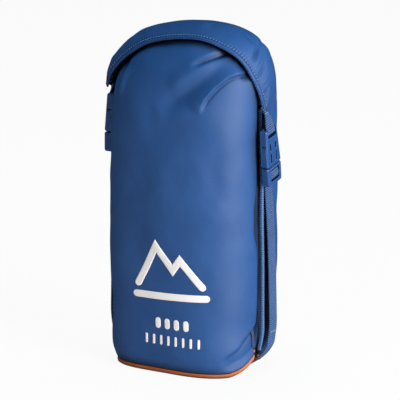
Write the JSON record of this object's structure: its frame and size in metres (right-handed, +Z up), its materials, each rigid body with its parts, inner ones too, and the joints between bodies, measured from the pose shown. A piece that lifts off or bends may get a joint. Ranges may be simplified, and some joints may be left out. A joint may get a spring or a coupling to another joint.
{
  "type": "packed bivy sack",
  "caption": "Bivy sack packed upright in a roll-top stow sack, its rolled collar held down by side-release buckles on a webbing under the base.",
  "frame": {"origin": "middle of the base, on the ground", "axes": "+Z up along the sack, -Y towards the printed front, +X towards the right-hand buckle"},
  "size_m": [0.1224, 0.0813, 0.24],
  "materials": {
    "shell_fabric": "fine diagonal weave with a soft sheen",
    "base_fabric": "coarse woven, matte",
    "binding_tape": "ribbed tape folded over the seam",
    "webbing": "ribbed flat webbing",
    "thread": "twisted thread",
    "buckle_plastic": "moulded, satin",
    "stiffener_plastic": "flexible strip",
    "print_ink": "screen print, slightly raised",
    "bivy_upper_fabric": "coated, smooth",
    "bivy_floor_fabric": "coated, matte"
  },
  "bodies": {
    "sack": {"front_panel": "shell_fabric", "back_panel": "shell_fabric", "base_panel": "base_fabric", "base_seam_binding": "binding_tape", "left_seam_binding": "binding_tape", "right_seam_binding": "binding_tape", "left_side_strap": "webbing", "right_side_strap": "webbing", "under_strap": "webbing", "strap_bartacks": "thread", "front_print_emblem": "print_ink", "front_print_bars": "print_ink", "bivy_upper_sheet": "bivy_upper_fabric", "bivy_floor_sheet": "bivy_floor_fabric"},
    "collar": {"collar_roll": "shell_fabric", "collar_inner_turns": "shell_fabric", "mouth_stiffener": "stiffener_plastic", "collar_hem": "shell_fabric", "hem_stitching": "thread", "roll_end_bartacks": "thread", "left_upper_strap": "webbing", "right_upper_strap": "webbing", "left_buckle_socket": "buckle_plastic", "right_buckle_socket": "buckle_plastic"},
    "left_plug": {"left_buckle_plug": "buckle_plastic", "left_strap_loop": "webbing"},
    "left_front_prong_body": {"left_front_prong": "buckle_plastic"},
    "left_rear_prong_body": {"left_rear_prong": "buckle_plastic"},
    "right_plug": {"right_buckle_plug": "buckle_plastic", "right_strap_loop": "webbing"},
    "right_front_prong_body": {"right_front_prong": "buckle_plastic"},
    "right_rear_prong_body": {"right_rear_prong": "buckle_plastic"}
  },
  "joints": [
    {"name": "collar_raise", "type": "slide", "parent": "sack", "child": "collar", "axis": [0, 0, 1], "range_m": [0, 0.045]},
    {"name": "left_buckle_release", "type": "slide", "parent": "collar", "child": "left_plug", "axis": [0, -0.0698, -0.9976], "range_m": [0, 0.017], "deforming": ["left_front_prong", "left_rear_prong"]},
    {"name": "left_front_squeeze", "type": "hinge", "parent": "left_plug", "child": "left_front_prong_body", "pos_m": [-0.0584, -0.01162, 0.15817], "axis": [-1, 0, 0], "range_deg": [0, 12.5], "stiffness_Nm_per_rad": 0.2},
    {"name": "left_rear_squeeze", "type": "hinge", "parent": "left_plug", "child": "left_rear_prong_body", "pos_m": [-0.0584, -0.00084, 0.15742], "axis": [1, 0, 0], "range_deg": [0, 12.5], "stiffness_Nm_per_rad": 0.2},
    {"name": "right_buckle_release", "type": "slide", "parent": "collar", "child": "right_plug", "axis": [0, 0.1564, -0.9877], "range_m": [0, 0.017], "deforming": ["right_front_prong", "right_rear_prong"]},
    {"name": "right_front_squeeze", "type": "hinge", "parent": "right_plug", "child": "right_front_prong_body", "pos_m": [0.0584, -0.00259, 0.14674], "axis": [-1, 0, 0], "range_deg": [0, 12.5], "stiffness_Nm_per_rad": 0.2},
    {"name": "right_rear_squeeze", "type": "hinge", "parent": "right_plug", "child": "right_rear_prong_body", "pos_m": [0.0584, 0.00808, 0.14843], "axis": [1, 0, 0], "range_deg": [0, 12.5], "stiffness_Nm_per_rad": 0.2}
  ],
  "couplings": [
    {"joint": "left_rear_squeeze", "follows": "left_front_squeeze", "ratio": 1},
    {"joint": "right_rear_squeeze", "follows": "right_front_squeeze", "ratio": 1}
  ]
}
